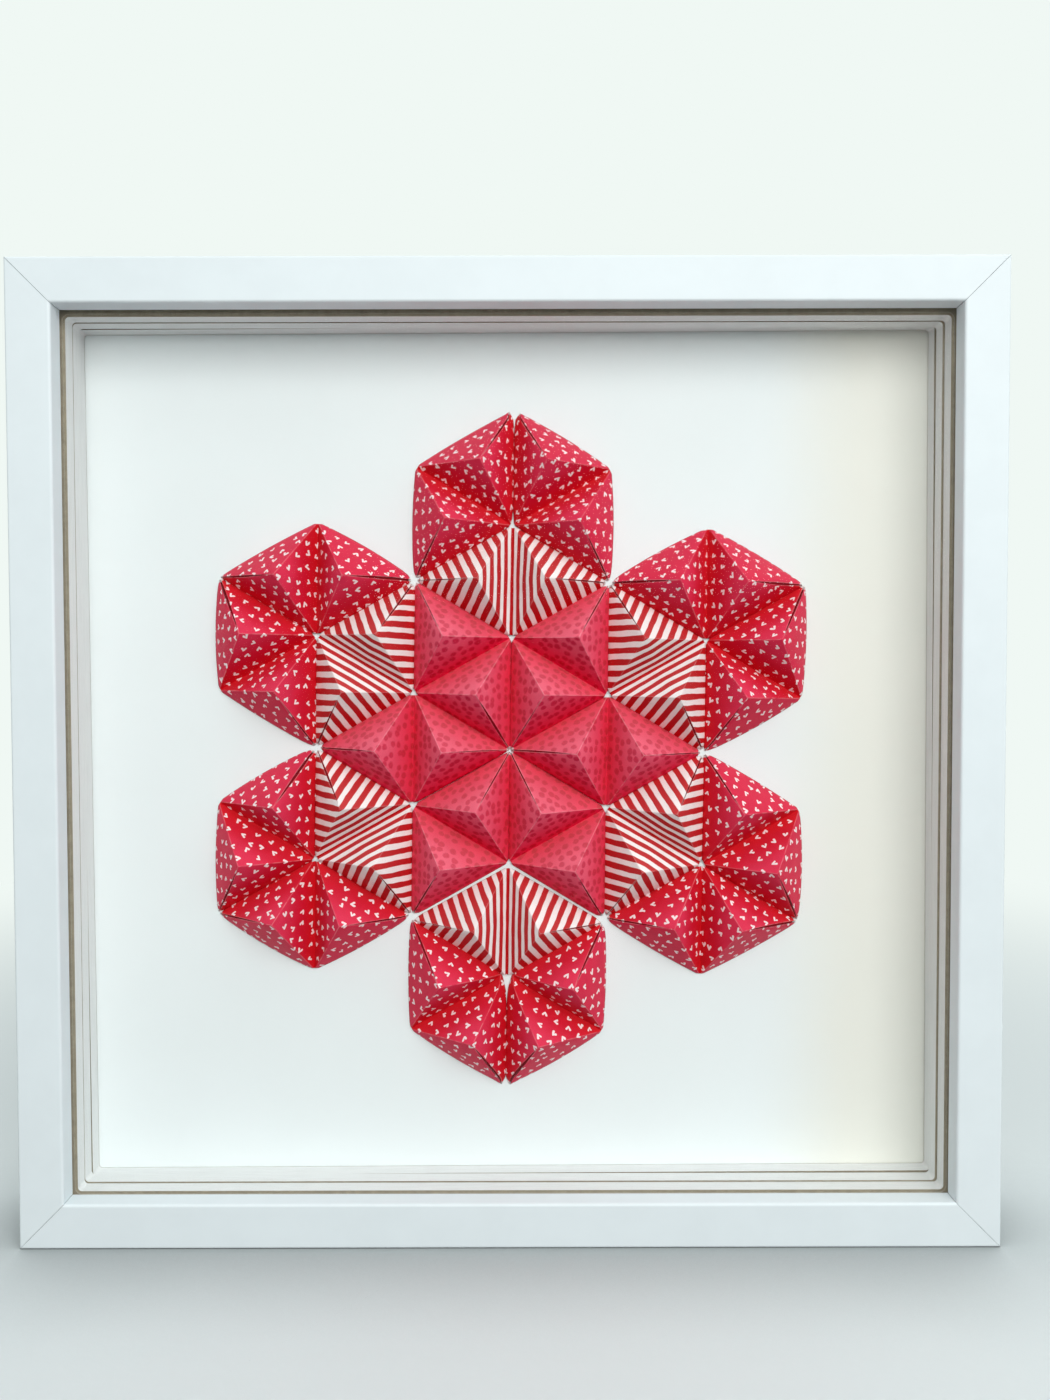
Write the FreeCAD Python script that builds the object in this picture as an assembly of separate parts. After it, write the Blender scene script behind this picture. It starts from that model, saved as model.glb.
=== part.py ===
"""Framed origami star: a mitred shadow-box frame, its glass, three spacer rings, a board
with twenty-four folded paper units glued to it, and the hidden back and hanger.

Millimetres. +X right, +Z up, and the glazed front faces -Y. The origin is at the bottom
centre of the frame's outside box.
"""
import FreeCAD
import Part

import math
import os

# ---- driving dimensions -------------------------------------------------------------

# Frame rails
FRAME_SIDE = 314.6        # outside, the same in width and height
RAIL_FACE = 14.4          # width of the flat front face
LIP_DEPTH = 6.5           # thickness of the lip in front of the glass
LIP_OVERHANG = 7.4        # how far the lip stands in over the rabbet
BACK_RECESS = 5.0         # rail standing behind the back panel
OUTER_EDGE_ROUND = 0.8
LIP_EDGE_ROUND = 0.9
REAR_EDGE_ROUND = 0.4
MITRE_GAP = 0.08          # glue line between two rails

# Sheets held in the rabbet
SHEET_CLEARANCE = 0.5     # each side of the glass, board and back panel
SHEET_DROP = 0.4          # how far they have settled onto the bottom rail
GLASS_THICKNESS = 2.4
BOARD_THICKNESS = 1.6
PANEL_THICKNESS = 3.0

# Spacer rings, front to rear: how far each stands in past the lip on every side, how far
# it sits off centre (right, up), and how far its opening was cut out of square, in degrees
RING_CLEARANCE = 0.8
RING_INSETS = (0.9, 1.15, 0.9)
RING_SHIFTS = ((0.1, -0.7), (-0.2, -0.65), (-0.35, -0.5))
RING_OPENING_TURNS = (0, 0, 0.22)
RING_INNER_ROUND = 1.3    # corners of the opening, left by the knife
RING_REBATES = ((0.3, 0.15), (0.15, 0.3), (0.3, 0.1))  # crushed rims, front and rear
RING_REBATE_WIDTH = 0.9   # shows as a dark seam between two rings
GLASS_TO_PAPER = 1.0      # space between the folded points and the glass

# Folded units: a square sheet cupboard-folded to two plies, then pleated into two
# three-sided pyramids that share a valley fold
SHEET_SIDE = 76.2
PLY_THICKNESS = 0.15
UNIT_GAP = 0.4            # between neighbouring units on the board
ACUTE_BLUNT = 1.4         # paper lost at the sharp corners, where folds bunch up
OBTUSE_BLUNT = 0.8
SLIT_AT_APEX = 0.12
SLIT_AT_CORNER = 0.9
SLIT_START = 0.5          # whole paper left beside the apex
TUCK_GAP = 0.1            # between a face and the tuck folded under it
BUTT_LINE_WIDTH = 0.3     # where the two cupboard flaps meet, inside
STAR_RISE = 0.8           # star centre above the middle of the frame
STAR_TURN = -0.9          # degrees, how far the star was glued out of square
LOWEST_PETAL = 4          # glued a little low, and the units above it less so
PETAL_SLIP = 0.9
STRIPED_SLIP = 0.7
DOTTED_SLIP = 0.4

# V-nails across the mitres
NAIL_LEG = 4.0
NAIL_THICKNESS = 0.6
NAIL_DEPTH = 8.0
NAIL_CLEARANCE = 0.05

# Flexible tabs
TAB_WIDTH = 8.0
TAB_BITE = 4.5            # driven into the rail
TAB_REACH = 8.0           # standing over the back panel
TAB_THICKNESS = 0.5
TAB_SPACING = 150.0       # between the two tabs of one rail
TAB_CORNER = 1.8
TAB_CLEARANCE = 0.05

# Sawtooth hanger
HANGER_LENGTH = 45.0
HANGER_HEIGHT = 9.5
HANGER_THICKNESS = 0.9
HANGER_FOOT = 7.5         # flat end that is riveted down
HANGER_STEP = 1.8         # length of the bend between foot and bar
HANGER_LIFT = 1.8         # bar's height off the panel
HANGER_BELOW_PANEL_TOP = 16.0
TOOTH_PITCH = 3.0
TOOTH_DEPTH = 1.8
TOOTH_COUNT = 7
RIVET_RADIUS = 1.2
RIVET_HEAD_RADIUS = 2.3
RIVET_HEAD_HEIGHT = 0.8
RIVET_FLANGE_RADIUS = 2.1
RIVET_FLANGE_HEIGHT = 0.5
RIVET_CLEARANCE = 0.05

# ---- worked out from them ------------------------------------------------------------

EDGE = SHEET_SIDE / 2                 # side of a unit's rhombus
UNIT_HEIGHT = EDGE / math.sqrt(6)
STEEP = math.sqrt(2)                  # rise over run of every folded face
RUN_PER_PLY = math.sqrt(1.5)          # a ply's own thickness, measured along the board
INRADIUS = EDGE / (2 * math.sqrt(3))  # of each equilateral half of the rhombus
SHELL = 2 * PLY_THICKNESS
VALLEY_LIFT = SHELL

WELL_DEPTH = UNIT_HEIGHT + GLASS_TO_PAPER
RING_THICKNESS = WELL_DEPTH / len(RING_INSETS)
FRAME_DEPTH = (LIP_DEPTH + GLASS_THICKNESS + WELL_DEPTH + BOARD_THICKNESS
               + PANEL_THICKNESS + BACK_RECESS)
RAIL_WALL = RAIL_FACE - LIP_OVERHANG
RABBET_SIDE = FRAME_SIDE - 2 * RAIL_WALL
LIP_OPENING = FRAME_SIDE - 2 * RAIL_FACE
MIDDLE = FRAME_SIDE / 2

FRONT_Y = -FRAME_DEPTH / 2
GLASS_Y = FRONT_Y + LIP_DEPTH
RINGS_Y = GLASS_Y + GLASS_THICKNESS
BOARD_Y = RINGS_Y + WELL_DEPTH
PANEL_Y = BOARD_Y + BOARD_THICKNESS
PANEL_BACK_Y = PANEL_Y + PANEL_THICKNESS
BACK_Y = FRONT_Y + FRAME_DEPTH

Vector = FreeCAD.Vector
AXIS_X = Vector(1, 0, 0)
AXIS_Y = Vector(0, 1, 0)
AXIS_Z = Vector(0, 0, 1)


# ---- helpers --------------------------------------------------------------------------

def box(low, high):
    """Box between two opposite corners."""
    size = [high[i] - low[i] for i in range(3)]
    return Part.makeBox(*size, Vector(*low))


def prism(points, direction):
    """Flat polygon pushed along a direction."""
    face = Part.Face(Part.makePolygon(points + points[:1]))
    return face.extrude(direction)


def square_sheet(side, y, thickness, shift):
    """Upright square sheet whose centre is shifted from the frame's."""
    x = shift[0] - side / 2
    z = MIDDLE + shift[1] - side / 2
    return Part.makeBox(side, thickness, side, Vector(x, y, z))


def quarter_turns(shape, count):
    """Shape turned about the frame's middle by a number of right angles."""
    turned = shape.copy()
    turned.rotate(Vector(0, 0, MIDDLE), AXIS_Y, -90 * count)
    return turned


def save(node, shape):
    """Write one node's STEP file."""
    shape.exportStep(os.path.join("parts", node + ".step"))


# ---- frame ----------------------------------------------------------------------------

def rail_bar():
    """Bottom rail at full length: an L section with its edges rounded."""
    section = [(0, FRONT_Y), (RAIL_FACE, FRONT_Y), (RAIL_FACE, GLASS_Y),
               (RAIL_WALL, GLASS_Y), (RAIL_WALL, BACK_Y), (0, BACK_Y)]
    rounds = {(0, FRONT_Y): OUTER_EDGE_ROUND, (RAIL_FACE, FRONT_Y): LIP_EDGE_ROUND,
              (RAIL_WALL, BACK_Y): REAR_EDGE_ROUND, (0, BACK_Y): REAR_EDGE_ROUND}
    bar = prism([Vector(-MIDDLE, y, z) for z, y in section], AXIS_X * FRAME_SIDE)
    for (z, y), radius in rounds.items():
        corner = Vector(0, y, z)
        edges = [edge for edge in bar.Edges
                 if abs(edge.tangentAt(edge.FirstParameter).x) > 0.99
                 and edge.CenterOfMass.distanceToPoint(corner) < 0.01]
        bar = bar.makeFillet(radius, edges)
    return bar


def mitred_rail():
    """Bottom rail with both ends cut at 45 degrees, half a glue line short."""
    back_off = MITRE_GAP / math.sqrt(2)
    reach = 2 * RAIL_FACE
    outline = [(-MIDDLE + back_off, 0), (MIDDLE - back_off, 0),
               (MIDDLE - back_off - reach, reach), (-MIDDLE + back_off + reach, reach)]
    keep = prism([Vector(x, FRONT_Y, z) for x, z in outline], AXIS_Y * FRAME_DEPTH)
    return rail_bar().common(keep)


def v_nail(clearance):
    """V-nail of the lower left corner: its spine is on the mitre, a leg in each rail."""
    spine = RAIL_WALL / 2 - NAIL_THICKNESS / 2 - clearance
    across = NAIL_THICKNESS + 2 * clearance
    leg = NAIL_LEG + 2 * clearance
    depth = NAIL_DEPTH + clearance
    corner = Vector(-MIDDLE + spine, BACK_Y - depth, spine)
    level = Part.makeBox(leg, depth, across, corner)
    upright = Part.makeBox(across, depth, leg, corner)
    return level.fuse(upright).removeSplitter()


def panel_tab(x, clearance):
    """Flexible tab in the bottom rail, lying on the back of the panel."""
    half = TAB_WIDTH / 2 + clearance
    low = RAIL_WALL - TAB_BITE - clearance
    high = RAIL_WALL + TAB_REACH
    outline = [(x - half, low), (x + half, low), (x + half, high - TAB_CORNER),
               (x + half - TAB_CORNER, high), (x - half + TAB_CORNER, high),
               (x - half, high - TAB_CORNER)]
    thickness = TAB_THICKNESS + 2 * clearance
    return prism([Vector(a, PANEL_BACK_Y, b) for a, b in outline], AXIS_Y * thickness)


def frame_fasteners(clearance):
    """The V-nails and the tabs, or their pockets when a clearance is given."""
    nails = [quarter_turns(v_nail(clearance), turn) for turn in range(4)]
    tabs = [quarter_turns(panel_tab(x, clearance), turn)
            for turn in range(4) for x in (-TAB_SPACING / 2, TAB_SPACING / 2)]
    return nails, tabs


def build_frame():
    """Four rails, the nails across their mitres and the tabs in their rabbets."""
    nail_pockets, tab_pockets = frame_fasteners(NAIL_CLEARANCE)
    pockets = Part.makeCompound(nail_pockets + tab_pockets)
    bottom = mitred_rail()
    for turn, name in enumerate(("bottom", "right", "top", "left")):
        save("rail_" + name, quarter_turns(bottom, turn).cut(pockets))
    nails, tabs = frame_fasteners(0)
    save("corner_v_nails", Part.makeCompound(nails))
    for tab in tabs:
        tab.translate(AXIS_Y * TAB_CLEARANCE)
    save("panel_tabs", Part.makeCompound(tabs))


# ---- sheets in the rabbet ---------------------------------------------------------------

def ring_opening(index, start, thickness, rebate):
    """Hole through one ring, or through one of its rims where it is wider."""
    shift = RING_SHIFTS[index]
    side = LIP_OPENING - 2 * (RING_INSETS[index] - rebate)
    hole = square_sheet(side, start, thickness, shift)
    upright = [edge for edge in hole.Edges
               if abs(edge.tangentAt(edge.FirstParameter).y) > 0.99]
    hole = hole.makeFillet(RING_INNER_ROUND + rebate, upright)
    centre = Vector(shift[0], 0, MIDDLE + shift[1])
    hole.rotate(centre, AXIS_Y, -RING_OPENING_TURNS[index])
    return hole


def spacer_ring(index):
    """One ring of lined board: square outside, slightly rounded corners inside."""
    y = RINGS_Y + index * RING_THICKNESS
    side = RABBET_SIDE - 2 * RING_CLEARANCE
    ring = square_sheet(side, y, RING_THICKNESS, RING_SHIFTS[index])
    front, rear = RING_REBATES[index]
    ring = ring.cut(ring_opening(index, y, RING_THICKNESS, 0))
    ring = ring.cut(ring_opening(index, y, front, RING_REBATE_WIDTH))
    return ring.cut(ring_opening(index, y + RING_THICKNESS - rear, rear, RING_REBATE_WIDTH))


def rivet_places():
    """Centres of the two rivets, on the back of the panel."""
    x = (HANGER_LENGTH - HANGER_FOOT) / 2
    return [Vector(side * x, PANEL_BACK_Y, hanger_z()) for side in (-1, 1)]


def hanger_z():
    """Height of the middle of the hanger."""
    panel_top = MIDDLE + RABBET_SIDE / 2 - SHEET_CLEARANCE - SHEET_DROP
    return panel_top - HANGER_BELOW_PANEL_TOP


def build_sheets():
    """Glass, rings, board and back panel, front to rear."""
    side = RABBET_SIDE - 2 * SHEET_CLEARANCE
    settled = (0, -SHEET_DROP)
    save("glazing", square_sheet(side, GLASS_Y, GLASS_THICKNESS, settled))
    for index, name in enumerate(("front", "middle", "rear")):
        save("spacer_ring_" + name, spacer_ring(index))
    save("mount_board", square_sheet(side, BOARD_Y, BOARD_THICKNESS, settled))
    panel = square_sheet(side, PANEL_Y, PANEL_THICKNESS, settled)
    sink = RIVET_FLANGE_HEIGHT + RIVET_CLEARANCE
    for place in rivet_places():
        front = Vector(place.x, PANEL_Y, place.z)
        hole = Part.makeCylinder(RIVET_RADIUS + RIVET_CLEARANCE, PANEL_THICKNESS, front, AXIS_Y)
        relief = Part.makeCylinder(RIVET_FLANGE_RADIUS + RIVET_CLEARANCE, sink, front, AXIS_Y)
        panel = panel.cut(hole).cut(relief)
    save("back_panel", panel)


# ---- hanger -----------------------------------------------------------------------------

def hanger_strip():
    """Bent strip: two feet flat on the panel and a bar raised between them."""
    end = HANGER_LENGTH / 2
    foot = end - HANGER_FOOT
    bar = foot - HANGER_STEP
    line = [(-end, 0), (-foot, 0), (-bar, HANGER_LIFT), (bar, HANGER_LIFT), (foot, 0), (end, 0)]
    lean = HANGER_THICKNESS * math.tan(math.atan2(HANGER_LIFT, HANGER_STEP) / 2)
    outer = []
    for x, y in line:
        shift = math.copysign(lean, x) if abs(x) < end else 0
        outer.append((x + shift, y + HANGER_THICKNESS))
    outline = line + outer[::-1]
    low = hanger_z() - HANGER_HEIGHT / 2
    return prism([Vector(x, PANEL_BACK_Y + y, low) for x, y in outline], AXIS_Z * HANGER_HEIGHT)


def build_hanger():
    """Sawtooth hanger and its two rivets."""
    hanger = hanger_strip()
    low = hanger_z() - HANGER_HEIGHT / 2
    half = TOOTH_PITCH / 2
    for index in range(TOOTH_COUNT):
        x = (index - (TOOTH_COUNT - 1) / 2) * TOOTH_PITCH
        notch = [(x - half, low), (x, low + TOOTH_DEPTH), (x + half, low)]
        hanger = hanger.cut(prism([Vector(a, PANEL_BACK_Y, b) for a, b in notch],
                                  AXIS_Y * BACK_RECESS))
    rivets = []
    for place in rivet_places():
        hole = Part.makeCylinder(RIVET_RADIUS + RIVET_CLEARANCE, HANGER_THICKNESS, place, AXIS_Y)
        hanger = hanger.cut(hole)
        front = Vector(place.x, PANEL_Y, place.z)
        grip = PANEL_THICKNESS + HANGER_THICKNESS
        shank = Part.makeCylinder(RIVET_RADIUS, grip + RIVET_HEAD_HEIGHT / 2, front, AXIS_Y)
        flange = Part.makeCylinder(RIVET_FLANGE_RADIUS, RIVET_FLANGE_HEIGHT, front, AXIS_Y)
        head = Part.makeCylinder(RIVET_HEAD_RADIUS, RIVET_HEAD_HEIGHT,
                                 place + AXIS_Y * HANGER_THICKNESS, AXIS_Y)
        crown = max(head.Edges, key=lambda edge: edge.BoundBox.YMin)
        head = head.makeFillet(0.7 * RIVET_HEAD_HEIGHT, [crown])
        rivets.append(shank.fuse([flange, head]).removeSplitter())
    save("sawtooth_hanger", hanger)
    save("hanger_rivets", Part.makeCompound(rivets))


# ---- folded unit --------------------------------------------------------------------------
# A unit lies with its long diagonal on X, its valley fold on Y and its points up +Z. Its
# +X half stands on an equilateral triangle whose centre is at x = INRADIUS. Three mutually
# square faces rise from it: one from the valley fold and one from each outer edge.

NORMAL_RUN = math.sqrt(2 / 3)
NORMAL_RISE = math.sqrt(1 / 3)
VALLEY_NORMAL = Vector(-NORMAL_RUN, 0, NORMAL_RISE)
LEFT_NORMAL = Vector(NORMAL_RUN / 2, NORMAL_RUN * math.sin(math.pi / 3), NORMAL_RISE)
RIGHT_NORMAL = Vector(NORMAL_RUN / 2, -NORMAL_RUN * math.sin(math.pi / 3), NORMAL_RISE)


def pyramid_points(valley_in, side_in, floor):
    """Corners and apex of the pyramid whose faces are moved inwards along the board."""
    valley = INRADIUS + (VALLEY_LIFT - floor) / STEEP - valley_in
    side = INRADIUS - UNIT_GAP / 2 - floor / STEEP - side_in
    spread = (side + valley / 2) / math.sin(math.pi / 3)
    rise = STEEP * (valley + 2 * side) / 3
    acute = Vector(INRADIUS + 2 * side, 0, floor)
    left = Vector(INRADIUS - valley, spread, floor)
    right = Vector(INRADIUS - valley, -spread, floor)
    apex = Vector(INRADIUS - valley + rise / STEEP, 0, floor + rise)
    return acute, left, right, apex


def pyramid(valley_in, side_in, floor):
    """Solid pyramid with those corners."""
    acute, left, right, apex = pyramid_points(valley_in, side_in, floor)
    rings = ([acute, left, right], [acute, left, apex], [left, right, apex], [right, acute, apex])
    faces = [Part.Face(Part.makePolygon(ring + ring[:1])) for ring in rings]
    return Part.Solid(Part.Shell(faces))


def tuck():
    """Surplus paper folded in at the slit: it lies under half of the left outer face."""
    acute, left, _, apex = pyramid_points(0, 0, 0)
    foot = (acute + left) / 2
    down = LEFT_NORMAL * -(SHELL + TUCK_GAP)
    aside = RIGHT_NORMAL * -(SHELL / 2)
    peak = apex + down + aside + VALLEY_NORMAL * -(SHELL / 2)
    flap = prism([peak, acute + down + aside, foot + down], LEFT_NORMAL * (-2 * SHELL))
    bridge_wide = RIGHT_NORMAL * -(2 * SHELL)
    bridge_deep = LEFT_NORMAL * -(SHELL + TUCK_GAP)
    start = apex + LEFT_NORMAL * -(SHELL / 2) + aside + VALLEY_NORMAL * -(SHELL / 2)
    corners = [start, start + bridge_wide, start + bridge_wide + bridge_deep,
               start + bridge_deep]
    bridge = prism(corners, acute - apex)
    return [flap, bridge]


def half_unit():
    """The +X half of a unit, open below and slit from its apex to its sharp corner."""
    far = 2 * EDGE
    wall = SHELL * RUN_PER_PLY
    beyond_valley = box((0, -far, 0), (far, far, far))
    shell = pyramid(0, 0, 0).common(beyond_valley)
    shell = shell.cut(pyramid(wall, wall, -1))
    half_line = BUTT_LINE_WIDTH / 2
    groove = pyramid(wall / 2, wall, -1).common(box((0, -half_line, -1), (far, half_line, far)))
    shell = shell.cut(groove)
    acute, _, _, apex = pyramid_points(0, 0, 0)
    start = apex.x + SLIT_START
    narrow = SLIT_AT_APEX / 2
    wide = SLIT_AT_CORNER / 2
    slit = prism([Vector(start, -narrow, 0), Vector(acute.x, -wide, 0),
                  Vector(acute.x, wide, 0), Vector(start, narrow, 0)], AXIS_Z * far)
    shell = shell.cut(slit)
    inside = [piece.common(beyond_valley) for piece in tuck()]
    return shell.fuse(inside)


def folded_unit():
    """Whole unit: two halves joined along the valley fold, corners blunted."""
    half = half_unit()
    other = half.copy()
    other.rotate(Vector(0, 0, 0), AXIS_Z, 180)
    length = EDGE * math.sqrt(3) / 2 - ACUTE_BLUNT
    width = EDGE / 2 - OBTUSE_BLUNT
    trim = box((-length, -width, 0), (length, width, EDGE))
    return half.fuse(other).common(trim).removeSplitter()


def on_board(shape, radius, bearing, turn, slip):
    """Copy of a unit placed about the star's centre, turned in the board's plane, and low
    by its slip."""
    bearing = math.radians(bearing + STAR_TURN)
    turn = math.radians(turn + STAR_TURN)
    across = Vector(math.cos(turn), 0, math.sin(turn))
    up = Vector(-math.sin(turn), 0, math.cos(turn))
    centre = Vector(radius * math.cos(bearing), BOARD_Y,
                    MIDDLE + STAR_RISE + radius * math.sin(bearing) - slip)
    placed = shape.copy()
    placed.Placement = FreeCAD.Placement(FreeCAD.Matrix(
        across.x, up.x, 0, centre.x,
        across.y, up.y, -1, centre.y,
        across.z, up.z, 0, centre.z,
        0, 0, 0, 1))
    return placed


def build_star():
    """Six dotted, six striped and twelve heart-printed units."""
    unit = folded_unit()
    inner = EDGE * math.sqrt(3) / 2
    middle = 1.5 * EDGE
    outer = EDGE * math.sqrt(4.25 + 2 * math.cos(math.pi / 3))
    lean = math.degrees(math.atan2(math.sin(math.pi / 3) / 2, 2 + math.cos(math.pi / 3) / 2))
    for index in range(6):
        point = 60 * index
        petal = 30 + 60 * index
        low = index == LOWEST_PETAL
        slip = DOTTED_SLIP * (index in (LOWEST_PETAL, LOWEST_PETAL + 1))
        save(f"folded_unit_dotted_{index + 1}", on_board(unit, inner, point, point, slip))
        slip = STRIPED_SLIP * low
        placed = on_board(unit, middle, petal, petal + 90, slip)
        save(f"folded_unit_striped_{index + 1}", placed)
        for side in (-1, 1):
            number = 2 * index + (3 + side) // 2
            slip = PETAL_SLIP * low
            placed = on_board(unit, outer, petal + side * lean, petal + side * 60 + 90, slip)
            save(f"folded_unit_hearts_{number}", placed)


os.makedirs("parts", exist_ok=True)
build_frame()
build_sheets()
build_hanger()
build_star()
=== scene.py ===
"""Framed origami star: papers, boards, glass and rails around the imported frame.

Metres. +X right, +Z up, and the glazed front faces -Y.
"""

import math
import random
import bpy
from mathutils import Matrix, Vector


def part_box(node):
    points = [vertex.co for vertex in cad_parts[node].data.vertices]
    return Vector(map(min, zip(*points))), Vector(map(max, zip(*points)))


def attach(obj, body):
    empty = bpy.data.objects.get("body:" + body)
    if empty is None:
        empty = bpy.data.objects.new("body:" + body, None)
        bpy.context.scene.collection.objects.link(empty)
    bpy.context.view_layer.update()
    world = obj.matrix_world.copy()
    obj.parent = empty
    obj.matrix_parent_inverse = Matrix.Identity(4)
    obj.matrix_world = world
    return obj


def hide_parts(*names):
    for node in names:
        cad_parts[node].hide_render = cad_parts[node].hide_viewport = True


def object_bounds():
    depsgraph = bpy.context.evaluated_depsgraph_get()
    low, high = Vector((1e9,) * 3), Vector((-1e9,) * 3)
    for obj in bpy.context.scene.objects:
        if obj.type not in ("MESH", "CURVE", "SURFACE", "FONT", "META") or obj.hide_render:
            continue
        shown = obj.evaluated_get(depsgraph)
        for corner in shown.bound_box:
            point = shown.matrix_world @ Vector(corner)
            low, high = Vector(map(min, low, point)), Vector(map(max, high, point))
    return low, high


bl_info = {
    "name": "Framed Origami Star",
    "version": (1, 0, 0),
    "blender": (4, 5, 0),
    "location": "View3D > Sidebar > Framed Star",
    "description": "Folded paper star in a white shadow-box frame, on a plain stage",
    "category": "Add Mesh",
}

import bmesh
import bpy
from mathutils import Matrix, Vector

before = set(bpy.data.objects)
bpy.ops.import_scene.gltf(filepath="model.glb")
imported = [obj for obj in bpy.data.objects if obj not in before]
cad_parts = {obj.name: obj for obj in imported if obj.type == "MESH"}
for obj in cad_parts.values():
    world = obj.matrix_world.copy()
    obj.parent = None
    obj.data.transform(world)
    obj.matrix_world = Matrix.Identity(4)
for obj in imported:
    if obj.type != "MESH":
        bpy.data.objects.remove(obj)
CAD_LOW, CAD_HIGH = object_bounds()

MM = 0.001
BODY = "root"

# ---- places read from the frame ----------------------------------------------------------

BOARD_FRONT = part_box("mount_board")[0].y
MIDDLE_Z = (CAD_LOW.z + CAD_HIGH.z) / 2


def unit_centre(node):
    """Middle of a folded unit, in the board's plane."""
    low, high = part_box(node)
    return Vector(((low.x + high.x) / 2, BOARD_FRONT, (low.z + high.z) / 2))


RIGHT_UNIT = unit_centre("folded_unit_dotted_1")
LEFT_UNIT = unit_centre("folded_unit_dotted_4")
ACROSS = RIGHT_UNIT - LEFT_UNIT
STAR_TURN = math.atan2(ACROSS.z, ACROSS.x)
EDGE = ACROSS.length / math.sqrt(3)  # side of a unit's rhombus, half the sheet's side


def paint(red, green, blue):
    """Linear colour from display values of 0 to 255."""
    shares = (value / 255 for value in (red, green, blue))
    return tuple(s / 12.92 if s <= 0.04045 else ((s + 0.055) / 1.055) ** 2.4 for s in shares)


# ---- settings ----------------------------------------------------------------------------


def length(name, description, default):
    """Length property in metres."""
    return bpy.props.FloatProperty(
        name=name, description=description, default=default, unit="LENGTH", precision=5
    )


def colour(name, description, default):
    """Colour property without alpha."""
    return bpy.props.FloatVectorProperty(
        name=name, description=description, default=default, subtype="COLOR", min=0, max=1
    )


def share(name, description, default):
    """Plain number from 0 to 1."""
    return bpy.props.FloatProperty(
        name=name, description=description, default=default, min=0, max=1
    )


class FoldSettings(bpy.types.PropertyGroup):
    """How the sheets are folded and how much they have given."""

    ply: length("Two plies", "Thickness of the doubled paper", 0.3 * MM)
    crease: length("Crease width", "Width of the rounded paper at a fold", 0.22 * MM)
    bulge: length("Bulge", "How far a face swells between its folds", 0.85 * MM)
    slit: length("Slit", "Opening of the slit at the sharp corner", 0.4 * MM)
    gape: length("Gape", "How far each edge of the slit stands off in its middle", 0.32 * MM)
    tuck: length("Tuck depth", "How far under the slit the spare paper lies", 0.8 * MM)
    bow: length("Bow", "How far an edge with no neighbour bows outwards", 0.95 * MM)
    lap: length("Lap", "How far sharp corners reach into the neighbours at the foot", 0.2 * MM)
    open_pull: length("Open corner loss", "How far sharp corners draw back", 1.25 * MM)
    tight_pull: length("Tight corner loss", "The same at the star's middle and tips", 0.5 * MM)
    blunt_cut: length("Blunt corner cut", "What the blunt corners have lost", 0.8 * MM)
    free_cut: length("Free corner cut", "The same at a petal's own corners", 0.5 * MM)
    parting: length("Parting", "How far a whole one moves a corner from its partner", 1.6 * MM)
    slump: length("Slump", "How far the lowest striped unit has slid down", 1.0 * MM)
    unevenness: length("Unevenness", "How far a point or corner strays", 0.25 * MM)
    cuts: bpy.props.IntProperty(
        name="Cuts", description="Divisions along each fold", default=13, min=3, max=24
    )
    seed: bpy.props.IntProperty(name="Seed", description="Start of the hand's errors", default=7)


class PaperSettings(bpy.types.PropertyGroup):
    """Inks and spacing of the three printed papers."""

    sheet_white: colour("Paper", "Bare paper", (0.94, 0.885, 0.885))
    dotted_ground: colour("Dotted ground", "Coral ground", (0.79, 0.033, 0.093))
    # Painted shade in valleys and joins, and painted sheen towards the points, of the dotted
    # paper.
    dotted_valley_shade: colour("Deep dotted ground", "In valleys and joins", (0.784, 0.0075, 0.0525))
    dotted_point_sheen: colour("Pale dotted ground", "Towards the points", (0.845, 0.093, 0.17))
    dotted_ink: colour("Dots", "What the dots let through of the ground", (0.76, 0.21, 0.41))
    striped_ink: colour("Stripes", "Brick red stripes", (0.52, 0.009, 0.014))
    # Painted shade in valleys and joins, and painted sheen towards the points, of the striped
    # paper.
    striped_valley_shade: colour("Deep stripes", "In valleys and joins", (0.55, 0.001, 0.005))
    striped_point_sheen: colour("Pale stripes", "Towards the points", (0.56, 0.024, 0.028))
    heart_ground: colour("Heart ground", "Crimson ground", (0.642, 0.004, 0.027))
    # Painted shade in valleys and joins, and painted sheen towards the points, of the heart paper.
    heart_valley_shade: colour("Deep heart ground", "In valleys and joins", (0.65, 0.003, 0.012))
    heart_point_sheen: colour("Pale heart ground", "Towards the points", (0.745, 0.03, 0.086))
    # Painted sheen: the heart paper's outer faces are drawn paler.
    heart_outer_sheen: colour("Faded heart ground", "Outer faces", (0.70, 0.021, 0.068))
    heart_white: colour("Hearts", "White that has taken up a little red", (0.95, 0.79, 0.81))
    # Painted shade: the paper tucked under the slits is the same printed paper, drawn in one dark
    # colour for the shade it lies in.
    slit_shade: colour("Spare paper", "Paper under the slits, out of the light", (0.2, 0.002, 0.008))
    # Painted sheen: how much paler the coral faces that look up are drawn.
    painted_sheen: share("Dust", "How much the coral faces that look up have paled", 0.065)
    dot_spacing: length("Dot spacing", "Between two dots", 3.3 * MM)
    stripe_period: length("Stripe period", "One red and one white stripe", 3.81 * MM)
    heart_spacing: length("Heart spacing", "Between two hearts", 4.3 * MM)
    stripe_share: share("Stripe share", "Share of the period that is red", 0.53)


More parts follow.
